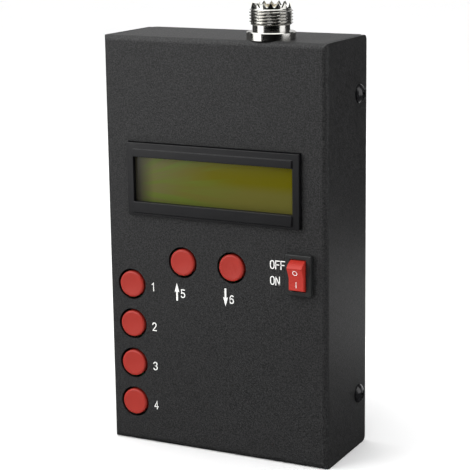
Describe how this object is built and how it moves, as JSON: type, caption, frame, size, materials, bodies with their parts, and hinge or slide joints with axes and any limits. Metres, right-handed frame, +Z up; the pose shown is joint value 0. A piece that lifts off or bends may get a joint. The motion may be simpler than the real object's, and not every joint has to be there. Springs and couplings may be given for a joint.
{
  "type": "antenna analyzer",
  "caption": "Hand-held antenna analyzer in a folded metal case, with a character display, push buttons, a rocker switch and a threaded antenna socket on top.",
  "frame": {"origin": "middle of the case's bottom face, which the part stands on", "axes": "+Z up along the case, towards the antenna socket; -Y out of the front with the display; +X to the right as the front is seen"},
  "size_m": [0.0944, 0.0415, 0.1685],
  "materials": {
    "case_paint": "dark grey powder coat with a fine grain over aluminium sheet",
    "black_screw": "black oxide",
    "bezel_black": "satin black paint",
    "black_rubber": "matt",
    "display_glass": "polished, unlit yellow-green display",
    "light_guide": "clear moulded block",
    "circuit_board": "green solder mask",
    "black_plastic": "moulded",
    "gloss_black": "semi-gloss moulded",
    "natural_nylon": "natural nylon",
    "plated_steel": "bright zinc plate",
    "bare_aluminium": "plain",
    "button_red": "satin moulded",
    "rocker_red": "satin moulded",
    "plated_brass": "bright nickel plate",
    "white_insulator": "white insulating plastic",
    "gilt_brass": "thin gold plate",
    "blue_plastic": "moulded",
    "cell_wrap": "blue shrink sleeve over a metal can",
    "foam_tape": "foam",
    "ferrite": "matt ferrite"
  },
  "bodies": {
    "case": {"front_shell": "case_paint", "back_cover": "case_paint", "cover_screws": "black_screw", "lcd_bezel": "bezel_black", "lcd_gasket": "black_rubber", "lcd_glass": "display_glass", "lcd_backlight": "light_guide", "lcd_board": "circuit_board", "lcd_header": "black_plastic", "lcd_spacers": "natural_nylon", "lcd_screws": "plated_steel", "lcd_nuts": "plated_steel", "main_board": "circuit_board", "board_standoffs": "bare_aluminium", "board_screws": "plated_steel", "switch_1": "black_plastic", "switch_2": "black_plastic", "switch_3": "black_plastic", "switch_4": "black_plastic", "switch_up": "black_plastic", "switch_down": "black_plastic", "rocker_housing": "gloss_black", "rocker_terminals": "plated_brass", "antenna_socket": "plated_brass", "antenna_insulator": "white_insulator", "antenna_contact": "gilt_brass", "antenna_nut": "plated_brass", "antenna_tag": "plated_brass", "power_jack": "black_plastic", "power_jack_pin": "plated_brass", "usb_shell": "plated_steel", "usb_tongue": "black_plastic", "battery_holder": "black_plastic", "cell_1": "cell_wrap", "cell_2": "cell_wrap", "cell_3": "cell_wrap", "battery_contacts": "plated_steel", "battery_pad": "foam_tape", "controller_chip": "black_plastic", "synthesizer_chip": "black_plastic", "amplifier_chip": "black_plastic", "clock_oscillator": "plated_steel", "voltage_regulator": "black_plastic", "contrast_trimmer": "blue_plastic", "filter_capacitors": "bare_aluminium", "bridge_transformer": "ferrite"},
    "button_1": {"cap_1": "button_red", "plunger_1": "black_plastic"},
    "button_2": {"cap_2": "button_red", "plunger_2": "black_plastic"},
    "button_3": {"cap_3": "button_red", "plunger_3": "black_plastic"},
    "button_4": {"cap_4": "button_red", "plunger_4": "black_plastic"},
    "button_up": {"cap_up": "button_red", "plunger_up": "black_plastic"},
    "button_down": {"cap_down": "button_red", "plunger_down": "black_plastic"},
    "rocker": {"rocker_paddle": "rocker_red"}
  },
  "joints": [
    {"name": "press_1", "type": "slide", "parent": "case", "child": "button_1", "axis": [0, 1, 0], "range_m": [0, 0.00035], "stiffness_N_per_m": 3000, "springref_m": -0.0001},
    {"name": "press_2", "type": "slide", "parent": "case", "child": "button_2", "axis": [0, 1, 0], "range_m": [0, 0.00035], "stiffness_N_per_m": 3000, "springref_m": -0.0001},
    {"name": "press_3", "type": "slide", "parent": "case", "child": "button_3", "axis": [0, 1, 0], "range_m": [0, 0.00035], "stiffness_N_per_m": 3000, "springref_m": -0.0001},
    {"name": "press_4", "type": "slide", "parent": "case", "child": "button_4", "axis": [0, 1, 0], "range_m": [0, 0.00035], "stiffness_N_per_m": 3000, "springref_m": -0.0001},
    {"name": "press_up", "type": "slide", "parent": "case", "child": "button_up", "axis": [0, 1, 0], "range_m": [0, 0.00035], "stiffness_N_per_m": 3000, "springref_m": -0.0001},
    {"name": "press_down", "type": "slide", "parent": "case", "child": "button_down", "axis": [0, 1, 0], "range_m": [0, 0.00035], "stiffness_N_per_m": 3000, "springref_m": -0.0001},
    {"name": "rocker_tilt", "type": "hinge", "parent": "case", "child": "rocker", "pos_m": [0.0345, -0.0189, 0.0726], "axis": [-1, 0, 0], "range_deg": [0, 25]}
  ]
}
